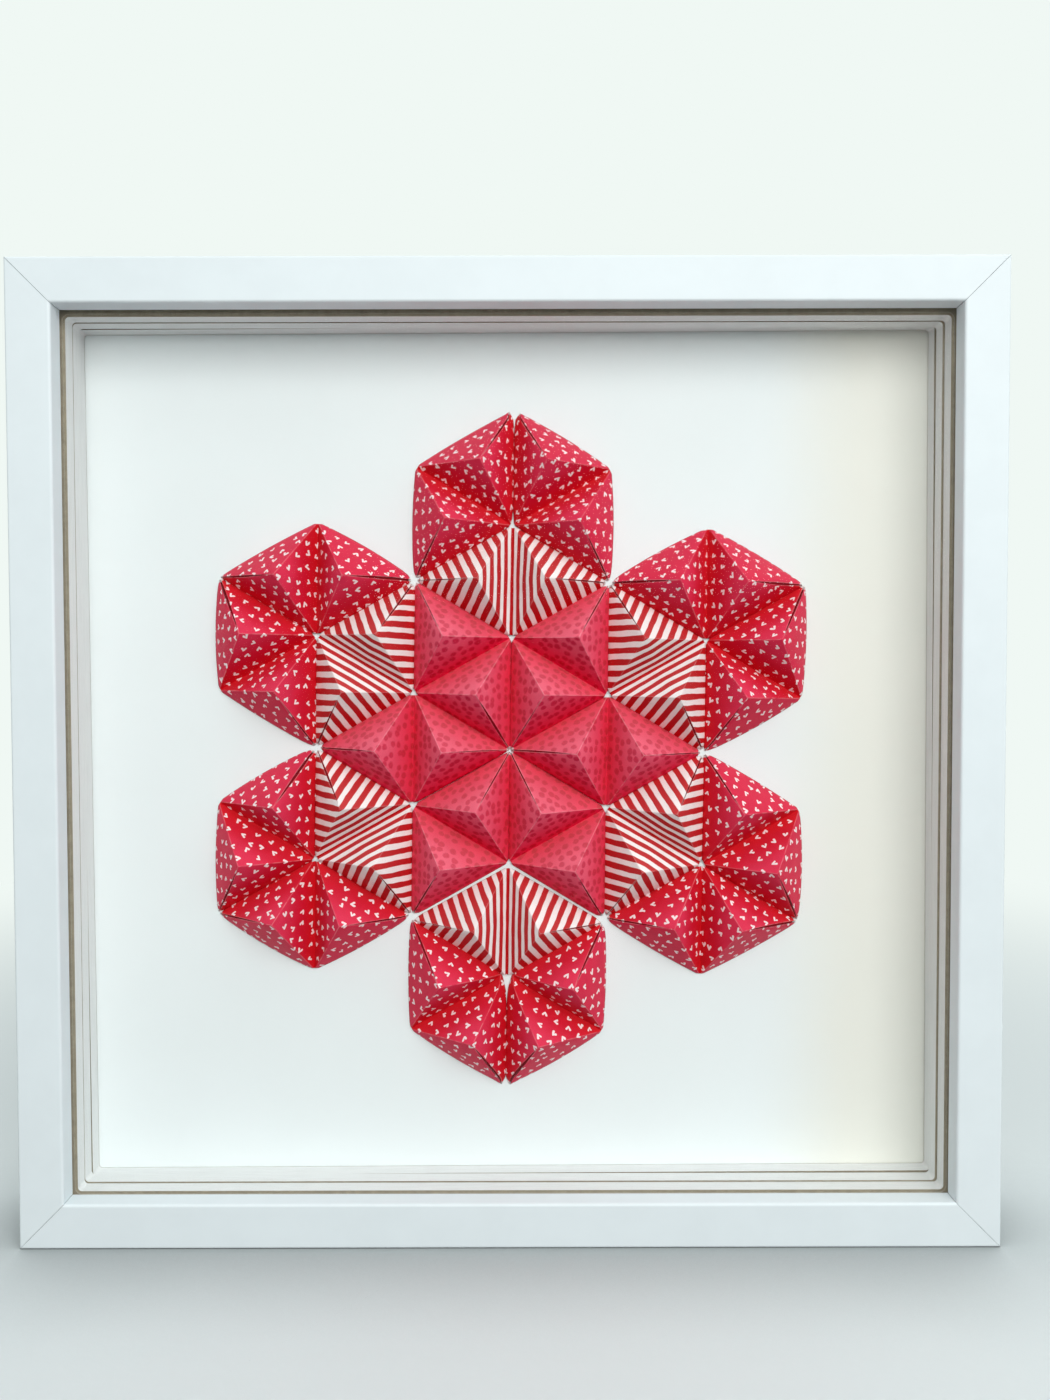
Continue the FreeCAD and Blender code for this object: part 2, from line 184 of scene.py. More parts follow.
class FrameSettings(bpy.types.PropertyGroup):
    """Colours of the frame and of what fills it."""

    lacquer: colour("Lacquer", "White rails", (0.775, 0.855, 0.89))
    board: colour("Board", "White board behind the star", (0.84, 0.90, 0.912))
    # Painted shade: the board is drawn darker and warmer along its right side, where the right
    # walls shade it.
    board_right_shade: colour("Yellowed board", "Along its right side", (0.83, 0.837, 0.775))
    lining: colour("Ring lining", "White paper on the rings' walls", (0.80, 0.825, 0.825))
    raw_board: colour("Raw board", "Brown faces of the rings", paint(158, 149, 130))
    bare_wood: colour("Bare wood", "Unpainted backs of the rails", paint(205, 178, 140))
    hardboard: colour("Hardboard", "Back panel", paint(120, 86, 58))
    glass: colour("Glass", "Tint of the glass", (0.985, 0.995, 0.99))
    glass_shine: share("Glass shine", "Share of its mirroring that the coating leaves", 0.01)


class StageSettings(bpy.types.PropertyGroup):
    """Floor, light and camera."""

    floor: colour("Floor", "Pale floor", (0.70, 0.76, 0.775))
    floor_bounce: colour("Floor bounce", "What the floor sends back up", (0.215, 0.22, 0.22))
    backdrop: colour("Backdrop", "What shows past the object", paint(240, 248, 244))
    sky: colour("Sky light", "Soft light from all round", (0.95, 1.0, 0.99))
    sky_strength: bpy.props.FloatProperty(
        name="Sky strength", description="Soft light at eye level", default=0.49, min=0
    )
    sky_lift: bpy.props.FloatProperty(
        name="Sky lift", description="How much stronger it is overhead", default=0.38
    )
    sky_lean: bpy.props.FloatProperty(
        name="Sky lean", description="How much stronger it is on the right", default=0.2
    )
    key_power: bpy.props.FloatProperty(
        name="Window power", description="Watts of the large soft lamp", default=10.5, min=0
    )
    key_width: length("Window width", "Long side of the soft lamp", 1.2)
    key_height: length("Window height", "Short side of the soft lamp", 0.8)
    key_distance: length("Window distance", "From the frame's middle", 1.2)
    key_right: bpy.props.FloatProperty(
        name="Window bearing",
        description="To the right of straight ahead",
        default=math.radians(15),
        subtype="ANGLE",
    )
    key_up: bpy.props.FloatProperty(
        name="Window elevation",
        description="Above level",
        default=math.radians(25),
        subtype="ANGLE",
    )
    camera_right: length("Camera right", "Right of the middle", 5.2 * MM)
    camera_away: length("Camera distance", "In front of the frame's middle", 0.3307)
    camera_height: length("Camera height", "Above the floor", 0.1846)
    camera_pitch: bpy.props.FloatProperty(
        name="Camera pitch",
        description="Up from level",
        default=math.radians(-1.607),
        subtype="ANGLE",
    )
    camera_roll: bpy.props.FloatProperty(
        name="Camera roll", description="Clockwise", default=math.radians(0.127), subtype="ANGLE"
    )
    lens: bpy.props.FloatProperty(name="Lens", description="Millimetres on 36", default=25.54)


# ---- material helpers --------------------------------------------------------------------

SPREAD = (0.3, 0.7)  # where most values of a noise lie


def shaded(shade, share):
    """Colour made darker, or paler up to full."""
    return tuple(min(1.0, part * share) for part in shade)


class Wiring:
    """Short ways to wire the nodes of one tree."""

    def __init__(self, tree):
        self.tree = tree
        tree.nodes.clear()

    def node(self, kind, *values, **settings):
        """New node with its plain settings, and values for its first sockets."""
        made = self.tree.nodes.new(kind)
        for key, value in settings.items():
            setattr(made, key, value)
        for socket, value in zip(made.inputs, values):
            self.feed(socket, value)
        return made

    def feed(self, socket, value):
        """Socket takes another socket's value or a plain one."""
        if isinstance(value, bpy.types.NodeSocket):
            self.tree.links.new(value, socket)
        elif isinstance(value, (tuple, list)) and len(value) == 3 and socket.type == "RGBA":
            socket.default_value = (*value, 1)
        else:
            socket.default_value = value

    def fill(self, made, **values):
        """A node's sockets by name, with _ for a space."""
        for key, value in values.items():
            self.feed(made.inputs[key.replace("_", " ")], value)

    def maths(self, operation, *values):
        """Math node."""
        return self.node("ShaderNodeMath", *values, operation=operation).outputs[0]

    def vector(self, operation, first, second=(0, 0, 0), factor=1.0):
        """Vector Math node; gives its number for a length or a product."""
        made = self.node("ShaderNodeVectorMath", first, second, operation=operation)
        if operation == "SCALE":
            self.fill(made, Scale=factor)
        gives_number = operation in ("LENGTH", "DOT_PRODUCT", "DISTANCE")
        return made.outputs["Value" if gives_number else "Vector"]

    def split(self, value):
        """X, Y and Z of a vector."""
        return self.node("ShaderNodeSeparateXYZ", value).outputs

    def join(self, x, y, z=0.0):
        """Vector from its parts."""
        return self.node("ShaderNodeCombineXYZ", x, y, z).outputs[0]

    def step(self, value, low, high, start=0.0, end=1.0):
        """Smooth step of a value from low to high."""
        made = self.node("ShaderNodeMapRange", interpolation_type="SMOOTHSTEP")
        self.fill(made, Value=value, From_Min=low, From_Max=high, To_Min=start, To_Max=end)
        return made.outputs["Result"]

    def blend(self, factor, first, second, mode="MIX"):
        """Colour mix."""
        made = self.node("ShaderNodeMix", data_type="RGBA", blend_type=mode)
        self.fill(made, Factor=factor, A=first, B=second)
        return made.outputs["Result"]

    def noise(self, place, scale, detail=2.0, roughness=0.5, stretch=None):
        """Noise from about 0 to 1; scale and stretch are per metre, or per edge on a chart."""
        if stretch is not None:
            place = self.vector("MULTIPLY", place, stretch)
        made = self.node("ShaderNodeTexNoise")
        self.fill(made, Vector=place, Scale=scale, Detail=detail, Roughness=roughness)
        return made.outputs["Fac"]

    def darkened(self, base, tone):
        """Colour times a number from 0 to 1."""
        return self.blend(1.0, base, self.join(tone, tone, tone), "MULTIPLY")

    def mottled(self, base, noise, least):
        """Colour times a noise that runs from least to 1."""
        return self.darkened(base, self.step(noise, *SPREAD, least, 1.0))

    def shaders(self, factor, first, second):
        """Shader mix."""
        return self.node("ShaderNodeMixShader", factor, first, second).outputs[0]


class Finish(Wiring):
    """One material, with its shader."""

    def __init__(self, name):
        self.material = bpy.data.materials.new(name)
        self.material.use_nodes = True
        super().__init__(self.material.node_tree)
        self.shader = self.node("ShaderNodeBsdfPrincipled")
        self.output = self.node("ShaderNodeOutputMaterial")
        self.show(self.shader.outputs["BSDF"])

    def show(self, shader):
        """What the material shows."""
        self.fill(self.output, Surface=shader)

    def place(self):
        """Object coordinates."""
        return self.node("ShaderNodeTexCoord").outputs["Object"]

    def chart(self, name):
        """One of the piece's own UV maps."""
        return self.node("ShaderNodeUVMap", uv_map=name).outputs["UV"]

    def bump(self, height, distance, strength=1.0, under=None):
        """Bump of a height in metres' worth of distance."""
        made = self.node("ShaderNodeBump")
        self.fill(made, Height=height, Distance=distance, Strength=strength)
        if under is not None:
            self.fill(made, Normal=under)
        return made.outputs["Normal"]

    def set(self, **values):
        """The shader's sockets by name, with _ for a space."""
        self.fill(self.shader, **values)


# ---- printed papers ----------------------------------------------------------------------
# UV map "Sheet" is the unfolded strip in rhombus edges: the valley fold is u = 0, the points are
# at u = +-0.5 and v = 0, and the folded outer edges are v = +-0.5. "Print" is the same, moved and
# turned as that sheet was cut. The spare paper in the slits is parked well off the strip.

OFF_STRIP = 3.0
SPARE_FROM = (1.4, 1.5)  # past any place on the strip, short of OFF_STRIP
CLOUD_SHIFT = 0.12       # how far the tones' bounds wander, in rhombus edges
DRIFT = 0.02             # how far the motifs wander, in the same
DRIFT_SCALE = 14.0

# Half a heart in millimetres: where its strokes meet, and where one of them ends
HEART_POINT = Vector((0.0, -0.62, 0.0))
HEART_LOBE = Vector((0.64, 0.5, 0.0))


def cells(finish, spacing, randomness):
    """Scattered motifs: place within the nearest one in spacings, and its own random colour."""
    chart = finish.chart("Print")
    drift = finish.node("ShaderNodeTexNoise", noise_dimensions="2D")
    finish.fill(drift, Vector=chart, Scale=DRIFT_SCALE)
    wander = finish.vector("SUBTRACT", drift.outputs["Color"], (0.5, 0.5, 0.5))
    chart = finish.vector("ADD", chart, finish.vector("SCALE", wander, factor=DRIFT))
    scale = EDGE / spacing
    made = finish.node("ShaderNodeTexVoronoi", voronoi_dimensions="2D", feature="F1")
    finish.fill(made, Vector=chart, Scale=scale, Randomness=randomness)
    inside = finish.vector("SUBTRACT", chart, made.outputs["Position"])
    return finish.vector("SCALE", inside, factor=scale), made.outputs["Color"]


def painted_shade_and_sheen(finish, colours, free_edge=False):
    """Ink with painted shade, darker in the valley and along joined edges, and a painted sheen,
    paler towards the points.
    """
    deep, plain, pale = (tuple(held) for held in colours)
    u, v, _ = finish.split(finish.chart("Sheet"))
    edge = v if free_edge else finish.maths("ABSOLUTE", v)
    from_valley = finish.maths("ABSOLUTE", u)
    nearest = finish.maths("MINIMUM", from_valley, finish.maths("SUBTRACT", 0.5, edge))
    cloud = finish.noise(finish.chart("Sheet"), 5.0, 2.0)
    wander = finish.maths("MULTIPLY_ADD", cloud, CLOUD_SHIFT, -CLOUD_SHIFT / 2)
    nearest = finish.maths("ADD", nearest, wander)
    ink = finish.blend(finish.step(nearest, 0.0, 0.2), deep, plain)
    return finish.blend(finish.step(nearest, 0.15, 0.42), ink, pale)


def dots(finish, papers):
    """Lumpy round dots, low in contrast."""
    inside, chance = cells(finish, papers.dot_spacing, 0.55)
    edge = finish.noise(finish.chart("Print"), 38.0, 1.0)
    radius = finish.maths("MULTIPLY_ADD", edge, 0.14, 0.225)
    size = finish.split(chance)[0]
    radius = finish.maths("ADD", radius, finish.maths("MULTIPLY", size, 0.06))
    distance = finish.vector("LENGTH", inside)
    mask = finish.step(finish.maths("SUBTRACT", radius, distance), -0.1, 0.1)
    uneven = finish.noise(finish.chart("Print"), 60.0, 2.0)
    mask = finish.maths("MULTIPLY", mask, finish.step(uneven, 0.25, 0.6, 0.75, 1.0))
    ground = painted_shade_and_sheen(finish, (papers.dotted_valley_shade, papers.dotted_ground, papers.dotted_point_sheen))
    return finish.blend(mask, ground, tuple(papers.dotted_ink), "MULTIPLY")


def stripes(finish, papers):
    """Hand-drawn stripes with wavering edges, a red one on the valley fold."""
    chart = finish.chart("Print")
    along = finish.split(chart)[0]
    count = EDGE / papers.stripe_period
    waver = finish.noise(chart, 1.0, 2.0, 0.5, stretch=(20.0, 5.0, 1.0))
    shake = finish.maths("MULTIPLY_ADD", waver, 0.2, -0.1)
    phase = finish.maths("MULTIPLY_ADD", along, count, shake)
    off_centre = finish.maths("PINGPONG", phase, 0.5)
    half = papers.stripe_share / 2
    mask = finish.step(off_centre, half - 0.025, half + 0.025, 1.0, 0.0)
    ink = painted_shade_and_sheen(finish, (papers.striped_valley_shade, papers.striped_ink, papers.striped_point_sheen))
    return finish.blend(mask, tuple(papers.sheet_white), ink)


def hearts(finish, papers):
    """Small brushed hearts, each two uneven strokes that meet at a point, turned anyhow."""
    inside, chance = cells(finish, papers.heart_spacing, 0.45)
    inside = finish.vector("SCALE", inside, factor=papers.heart_spacing / MM)
    turn = finish.node("ShaderNodeVectorRotate", rotation_type="Z_AXIS")
    red, green, blue = finish.split(chance)
    finish.fill(turn, Vector=inside, Angle=finish.maths("MULTIPLY", red, math.tau))
    x, y, _ = finish.split(turn.outputs[0])
    stroke = HEART_LOBE - HEART_POINT
    folded = finish.join(finish.maths("ABSOLUTE", x), y)
    from_point = finish.vector("SUBTRACT", folded, tuple(HEART_POINT))
    along = finish.vector("DOT_PRODUCT", from_point, tuple(stroke / stroke.length_squared))
    shorter = finish.maths("MULTIPLY", finish.step(x, -0.1, 0.1, 0.35, 0.0), green)
    reach = finish.maths("SUBTRACT", 1.0, shorter)
    along = finish.maths("MAXIMUM", finish.maths("MINIMUM", along, reach), 0.0)
    nearest = finish.vector("SCALE", tuple(stroke), factor=along)
    distance = finish.vector("DISTANCE", from_point, nearest)
    width = finish.maths("MULTIPLY_ADD", along, 0.14, 0.215)
    width = finish.maths("ADD", width, finish.maths("MULTIPLY", blue, 0.06))
    mask = finish.step(finish.maths("SUBTRACT", width, distance), -0.06, 0.06)
    u, v, _ = finish.split(finish.chart("Sheet"))
    past_valley = finish.maths("SUBTRACT", finish.maths("ABSOLUTE", u), 0.5)
    outer_face = finish.maths("ADD", past_valley, finish.maths("MULTIPLY", v, -1.0))
    # Painted sheen: the outer faces on the free side take a paler heart ground.
    paled_share = finish.step(outer_face, -0.01, 0.01)
    paled_share = finish.maths("MULTIPLY", paled_share, finish.step(v, -0.01, 0.01, 1.0, 0.0))
    ground = painted_shade_and_sheen(finish, (papers.heart_valley_shade, papers.heart_ground, papers.heart_point_sheen), True)
    ground = finish.blend(paled_share, ground, tuple(papers.heart_outer_sheen))
    return finish.blend(mask, ground, tuple(papers.heart_white))


def printed_paper(name, draw, papers, painted_sheen):
    """Printed paper with worn folds, frayed white corners and a faint fibre, and painted light: a
    sheen on faces that look up, shade along the folded outer edges and dark paper under the slits.
    """
    finish = Finish(name)
    ink = draw(finish, papers)
    u, v, _ = finish.split(finish.chart("Sheet"))
    across = finish.maths("ABSOLUTE", v)
    along = finish.maths("ABSOLUTE", u)
    from_point = finish.maths("ABSOLUTE", finish.maths("SUBTRACT", along, 0.5))
    ridge = finish.maths("ABSOLUTE", finish.maths("SUBTRACT", from_point, across))
    outer = finish.maths("SUBTRACT", 0.5, across)
    place = finish.place()
    patches = finish.noise(place, 420.0, 3.0, 0.6)
    worn = finish.step(ridge, 0.0, 0.012, 0.14, 0.0)
    worn = finish.maths("MULTIPLY", worn, finish.step(patches, 0.3, 0.6))
    # Painted sheen: faces that look up are drawn paler, towards bare paper.
    looking_up = finish.split(finish.node("ShaderNodeNewGeometry").outputs["Normal"])[2]
    looking_up_sheen = finish.step(looking_up, -0.7, 0.85, 0.0, painted_sheen)
    corner = finish.vector("DISTANCE", finish.join(along, across), (1.0, 0.5, 0.0))
    ragged = finish.maths("MULTIPLY_ADD", patches, -0.045, 0.048)
    frayed = finish.step(finish.maths("SUBTRACT", corner, ragged), 0.0, 0.01, 0.7, 0.0)
    # Worn folds and frayed corners turn the ink to bare paper, and the painted sheen adds to them.
    bare = finish.maths("MAXIMUM", finish.maths("ADD", worn, looking_up_sheen), frayed)
    mottle = finish.noise(place, 160.0, 4.0, 0.65)
    tone = finish.step(mottle, *SPREAD, 0.93, 1.0)
    # Painted shade: the ink is drawn darker within a hair of the folded outer edges, where units
    # meet.
    tone = finish.maths("MULTIPLY", tone, finish.step(outer, 0.002, 0.012, 0.7, 1.0))
    ink = finish.darkened(ink, tone)
    base = finish.blend(bare, ink, tuple(papers.sheet_white))
    # Painted shade: paper parked off the strip, under the slits, takes the one dark slit colour.
    base = finish.blend(finish.step(along, *SPARE_FROM), base, tuple(papers.slit_shade))
    fibre = finish.noise(place, 2600.0, 3.0, 0.7)
    cockle = finish.noise(place, 95.0, 2.0, 0.5)
    under = finish.bump(cockle, 0.25 * MM, 0.5)
    finish.set(
        Base_Color=base,
        Roughness=finish.step(fibre, 0.25, 0.75, 0.42, 0.56),
        Normal=finish.bump(fibre, 0.02 * MM, 0.6, under),
        Specular_IOR_Level=0.1,
    )
    return finish.material


# ---- folded units ------------------------------------------------------------------------


def crease_points(sizes, chance):
    """Corners of one folded sheet: name to (place on the strip, place folded).

    Folded, the valley lies on Y, the long diagonal on X, and the points stand up along Z.
    """
    half = EDGE / 2
    reach = EDGE * math.sqrt(3) / 2 + sizes.lap
    width = half + sizes.lap / 2
    points = {}

    def stray():
        return chance.uniform(-1, 1) * sizes.unevenness

    for side in (-1, 1):
        top = Vector((side * EDGE / math.sqrt(12) + stray(), stray(), EDGE / math.sqrt(6)))
        points["apex", side] = (Vector((side * half, 0)), top)
        opening = sizes.slit * chance.uniform(0.5, 1.5) / 2
        for hand in (-1, 1):
            corner = Vector((side * reach, hand * opening, opening))
            points["sharp", side, hand] = (Vector((side * EDGE, hand * half)), corner)
    for hand in (-1, 1):
        corner = Vector((stray() / 2, hand * width, sizes.ply))
        points["blunt", hand] = (Vector((0, hand * half)), corner)
    return points


GAPE_FADE = 1.5 * MM       # from the slit's edge, how soon the face lies true again
CORNER_SPREAD = 2.2 * MM   # how much paper moves with a corner that draws back

FACETS = [
    facet
    for side in (-1, 1)
    for facet in (
        (("apex", side), ("blunt", -1), ("blunt", 1)),
        (("apex", side), ("sharp", side, -1), ("blunt", -1)),
        (("apex", side), ("blunt", 1), ("sharp", side, 1)),
    )
]


def unfolded(vertex, chart):
    """Place of a vertex on the flat strip, in metres."""
    return vertex.link_loops[0][chart].uv * EDGE


def swell(bm, chart, points, sizes, chance, free_hand):
    """Faces bow between their folds, slits gape and edges with no neighbour bow out."""
    half = EDGE / 2
    facets = [(side, hand) for side in (-1, 1) for hand in (-1, 0, 1)]
    bows = {facet: chance.uniform(0.2, 1.0) * sizes.bulge for facet in facets}
    gapes = {facet: chance.uniform(0.3, 1.7) * sizes.gape for facet in facets}
    edges = {facet: chance.uniform(0.6, 1.3) * sizes.bow for facet in facets}
    moves = []
    for vertex in bm.verts:
        u, v = unfolded(vertex, chart)
        past = abs(u) - half
        depth = abs(abs(past) - abs(v)) * (half - max(abs(v), -past)) * 4 / half**2
        side = math.copysign(1, u)
        hand = 0 if abs(v) < -past else math.copysign(1, v)
        move = vertex.normal * depth * bows[side, hand]
        if hand:
            apex = points["apex", side][1]
            inward = (points["blunt", hand][1] - apex).normalized()
            along = min(max((past + abs(v)) / 2 / half, 0), 1)
            beside = (abs(v) - past) / math.sqrt(2)
            amount = gapes[side, hand] * 4 * along * (1 - along)
            move += inward * amount * math.exp(-beside / GAPE_FADE)
        if hand == free_hand and hand:
            outward = Vector((side / 2, hand * math.sqrt(3) / 2, 0))
            along = abs(u) / EDGE
            low = abs(v) / half
            move += outward * edges[side, hand] * 4 * along * (1 - along) * low**1.5
        moves.append((vertex, move))
    for vertex, move in moves:
        vertex.co += move


def draw_back(bm, sizes, chance, free_hand, tight_side, partings):
    """Sharp corners draw back from where neighbours meet, and a petal's two units part.

    A parting is where it is, how much of the whole, and over what length.
    """
    reach = EDGE * math.sqrt(3) / 2
    moves = []
    for side in (-1, 1):
        corner = Vector((side * reach, 0))
        pull = sizes.tight_pull if side == tight_side else sizes.open_pull
        inward = -corner.normalized() * pull * chance.uniform(0.6, 1.4)
        moves.append((corner, inward, CORNER_SPREAD))
    from_partner = Vector((-tight_side / 2, free_hand * math.sqrt(3) / 2))
    for where, amount, spread in partings:
        corner = Vector((tight_side * reach, 0)) if where == "tip" else Vector((0, EDGE / 2))
        moves.append((corner, from_partner * amount * sizes.parting, spread))
    for vertex in bm.verts:
        flat = vertex.co.xy
        for corner, move, spread in moves:
            away = (flat - corner).length / spread
            vertex.co += (move * math.exp(-(away**2))).to_3d()


def cut_corners(bm, sizes, chance, free_hand):
    """Takes a little off the blunt corners."""
    for hand in (-1, 1):
        loss = sizes.free_cut if hand == free_hand else sizes.blunt_cut
        stop = EDGE / 2 - loss * chance.uniform(0.7, 1.3)
        bmesh.ops.bisect_plane(
            bm,
            geom=bm.verts[:] + bm.edges[:] + bm.faces[:],
            plane_co=(0, hand * stop, 0),
            plane_no=(0, hand, 0),
            clear_outer=True,
        )


def weigh_creases(bm, chart):
    """Marks the five folds for the bevel that rounds them."""
    weights = bm.edges.layers.float.new("bevel_weight_edge")
    near = EDGE * 0.001
    for edge in bm.edges:
        if edge.is_boundary:
            continue
        ends = [unfolded(vertex, chart) for vertex in edge.verts]
        valley = all(abs(end.x) < near for end in ends)
        ridge = all(abs(abs(abs(end.x) - EDGE / 2) - abs(end.y)) < near for end in ends)
        if valley or ridge:
            edge[weights] = 1.0


# Ends of the spare paper: place along the slit, depth under it and half width, in tuck depths
TUCK_TOP = (0.03, 1.0, 0.6)
TUCK_FOOT = (0.94, 0.7, 0.4)


def add_tuck(bm, points, charts, sizes, side):
    """Surplus paper folded in at the slit, lying along it a little under its edges."""
    apex = points["apex", side][1]
    sharp = Vector((points["sharp", side, 1][1].x, 0, 0))
    along = sharp - apex
    aside = Vector((0, 1, 0))
    under = along.cross(aside).normalized()
    if under.z > 0:
        under.negate()
    corners = []
    for (place, depth, half_width), hands in ((TUCK_TOP, (-1, 1)), (TUCK_FOOT, (1, -1))):
        end = apex + along * place + under * sizes.tuck * depth
        corners += [end + aside * sizes.tuck * half_width * hand for hand in hands]
    if side < 0:
        corners.reverse()
    face = bm.faces.new([bm.verts.new(corner) for corner in corners])
    for loop in face.loops:
        for chart in charts:
            loop[chart].uv = Vector((side * OFF_STRIP, 0))
    lengthwise = [edge for edge in face.edges if edge.calc_length() > EDGE / 2]
    bmesh.ops.subdivide_edges(bm, edges=lengthwise, cuts=sizes.cuts)


def folded_sheet(sizes, chance, slide, turn, free_hand, tight_side, partings):
    """Mesh of one folded sheet about its own middle; slide and turn place the print on it."""
    bm = bmesh.new()
    charts = [bm.loops.layers.uv.new(name) for name in ("Sheet", "Print")]
    points = crease_points(sizes, chance)
    corners = {name: bm.verts.new(folded) for name, (_, folded) in points.items()}
    for facet in FACETS:
        face = bm.faces.new([corners[name] for name in facet])
        for loop, name in zip(face.loops, facet):
            for chart in charts:
                loop[chart].uv = points[name][0] / EDGE
    bmesh.ops.recalc_face_normals(bm, faces=bm.faces)
    if bm.faces[0].normal.z < 0:
        bmesh.ops.reverse_faces(bm, faces=bm.faces)
    bmesh.ops.subdivide_edges(bm, edges=bm.edges, cuts=sizes.cuts, use_grid_fill=True)
    bm.normal_update()
    swell(bm, charts[0], points, sizes, chance, free_hand)
    for side in (-1, 1):
        add_tuck(bm, points, charts, sizes, side)
    draw_back(bm, sizes, chance, free_hand, tight_side, partings)
    cut_corners(bm, sizes, chance, free_hand)
    weigh_creases(bm, charts[0])
    cut = Matrix.Rotation(turn, 2)
    for face in bm.faces:
        face.smooth = True
        for loop in face.loops:
            loop[charts[1]].uv = cut @ loop[charts[1]].uv + slide
    return bm


def place_unit(bm, node, turn):
    """Stands the unit's points out of the board, over its own node."""
    across = Vector((math.cos(turn), 0, math.sin(turn)))
    up = Vector((-math.sin(turn), 0, math.cos(turn)))
    out = Vector((0, -1, 0))
    frame_of_unit = Matrix((across, up, out)).transposed().to_4x4()
    bmesh.ops.transform(
        bm, matrix=Matrix.Translation(unit_centre(node)) @ frame_of_unit, verts=bm.verts
    )


def finish_unit(piece, sizes):
    """Rounds the folds and gives the paper its two plies."""
    rounding = piece.modifiers.new("Folds", "BEVEL")
    rounding.limit_method = "WEIGHT"
    rounding.width = sizes.crease
    rounding.segments = 2
    rounding.profile = 0.5
    thickness = piece.modifiers.new("Plies", "SOLIDIFY")
    thickness.thickness = sizes.ply
    thickness.offset = -1
    thickness.use_even_offset = True
    thickness.use_quality_normals = True
    shading = piece.modifiers.new("Flat faces", "WEIGHTED_NORMAL")
    shading.mode = "FACE_AREA"
    shading.weight = 80


def add_piece(bm, name, material, slot, *nodes):
    """New object at the origin from a bmesh, riding on the frame in place of CAD nodes."""
    mesh = bpy.data.meshes.new(name)
    bm.to_mesh(mesh)
    bm.free()
    mesh.materials.append(material)
    piece = bpy.data.objects.new(name, mesh)
    bpy.context.scene.collection.objects.link(piece)
    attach(piece, BODY)
    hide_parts(*nodes)
    return piece


def dress(node, material):
    """Gives a carried CAD node its finish."""
    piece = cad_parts[node]
    if not piece.material_slots:
        piece.data.materials.append(material)
    for held in piece.material_slots:
        held.material = material


# Painted sheen on faces that look up, for the striped and heart papers.
STRIPED_SHEEN, HEART_SHEEN = 0.4, 0.15  # as shares of the coral paper's

SLUMPED_UNIT = ("striped", 5)  # has slid down over the bottom petal's corners
# By petal: where its two units have come apart, how much, and over what length
PARTINGS = {
    2: (("tip", 0.75, 1.8 * MM), ("tip", 0.25, 9 * MM), ("middle", 0.3, 4 * MM)),
    5: (("tip", 0.75, 2.5 * MM), ("middle", 0.85, 2.4 * MM), ("middle", 0.4, 8 * MM)),
}


def units(kind, count, angle_of, material, slot, slides=True, tight_side=0, petals=False):
    """All units of one paper, each with the small errors of a hand.

    The tight side is the sharp corner that keeps close to its neighbours. In a petal it is the
    tip, at +X for odd units and -X for even ones, and the edges at -Y have no neighbour.
    """
    sizes = bpy.context.scene.star_folds
    for number in range(1, count + 1):
        chance = random.Random(f"{sizes.seed} {kind} {number}")
        slide = Vector((0, 0))
        if slides:
            slide = Vector((chance.uniform(2, 9), chance.uniform(2, 9)))
        turn = math.radians(chance.uniform(-0.8, 0.8))
        partings, free_hand = (), 0
        if petals:
            free_hand = -1
            tight_side = 1 if number % 2 else -1
            partings = PARTINGS.get((number + 1) // 2, (("tip", 0.1, 4 * MM),))
        bm = folded_sheet(sizes, chance, slide, turn, free_hand, tight_side, partings)
        node = f"folded_unit_{kind}_{number}"
        leaning = math.radians(chance.uniform(-0.12, 0.12))
        place_unit(bm, node, math.radians(angle_of(number)) + STAR_TURN + leaning)
        if (kind, number) == SLUMPED_UNIT:
            bmesh.ops.translate(bm, verts=bm.verts, vec=(0, 0, -sizes.slump))
        piece = add_piece(bm, f"{kind}_unit_{number}", material, slot, node)
        finish_unit(piece, sizes)


class STAR_OT_dotted(bpy.types.Operator):
    """Six coral units whose sharp corners meet at the star's middle"""

    bl_idname = "framed_star.dotted"
    bl_label = "Dotted units"

    def execute(self, context):
        papers = context.scene.star_papers
        material = printed_paper("coral dotted paper", dots, papers, papers.painted_sheen)

        def angle(number):
            return 60 * (number - 1)

        units("dotted", 6, angle, material, "dotted_paper", tight_side=-1)
        return {"FINISHED"}


class STAR_OT_striped(bpy.types.Operator):
    """Six striped units between the points of the inner star"""

    bl_idname = "framed_star.striped"
    bl_label = "Striped units"

    def execute(self, context):
        papers = context.scene.star_papers
        painted_sheen = papers.painted_sheen * STRIPED_SHEEN
        material = printed_paper("red striped paper", stripes, papers, painted_sheen)

        def angle(number):
            return 60 * (number + 1)

        units("striped", 6, angle, material, "striped_paper", slides=False)
        return {"FINISHED"}


class STAR_OT_hearts(bpy.types.Operator):
    """Twelve crimson units, two to each petal"""

    bl_idname = "framed_star.hearts"
    bl_label = "Heart units"

    def execute(self, context):
        papers = context.scene.star_papers
        painted_sheen = papers.painted_sheen * HEART_SHEEN
        material = printed_paper("crimson heart paper", hearts, papers, painted_sheen)

        def angle(number):
            petal = 30 + 60 * ((number - 1) // 2)
            return petal + 90 + (60 if number % 2 == 0 else -60)

        units("hearts", 12, angle, material, "heart_paper", petals=True)
        return {"FINISHED"}


# ---- frame and fillings ------------------------------------------------------------------

MITRE_LINE = (0.05 * MM, 0.22 * MM)  # half width of the hairline: dark, and faded out
MITRE_SHADE = paint(96, 116, 118)
SPECK_SHADE = paint(96, 84, 70)
LACQUER_END = CAD_HIGH.y - 1.1 * MM  # where the lacquer stops short of the back
# Painted shade on the board, to the right of the middle.
RIGHT_SHADE_SPAN = (88 * MM, 128 * MM)      # to the right of the middle: begins, and is full


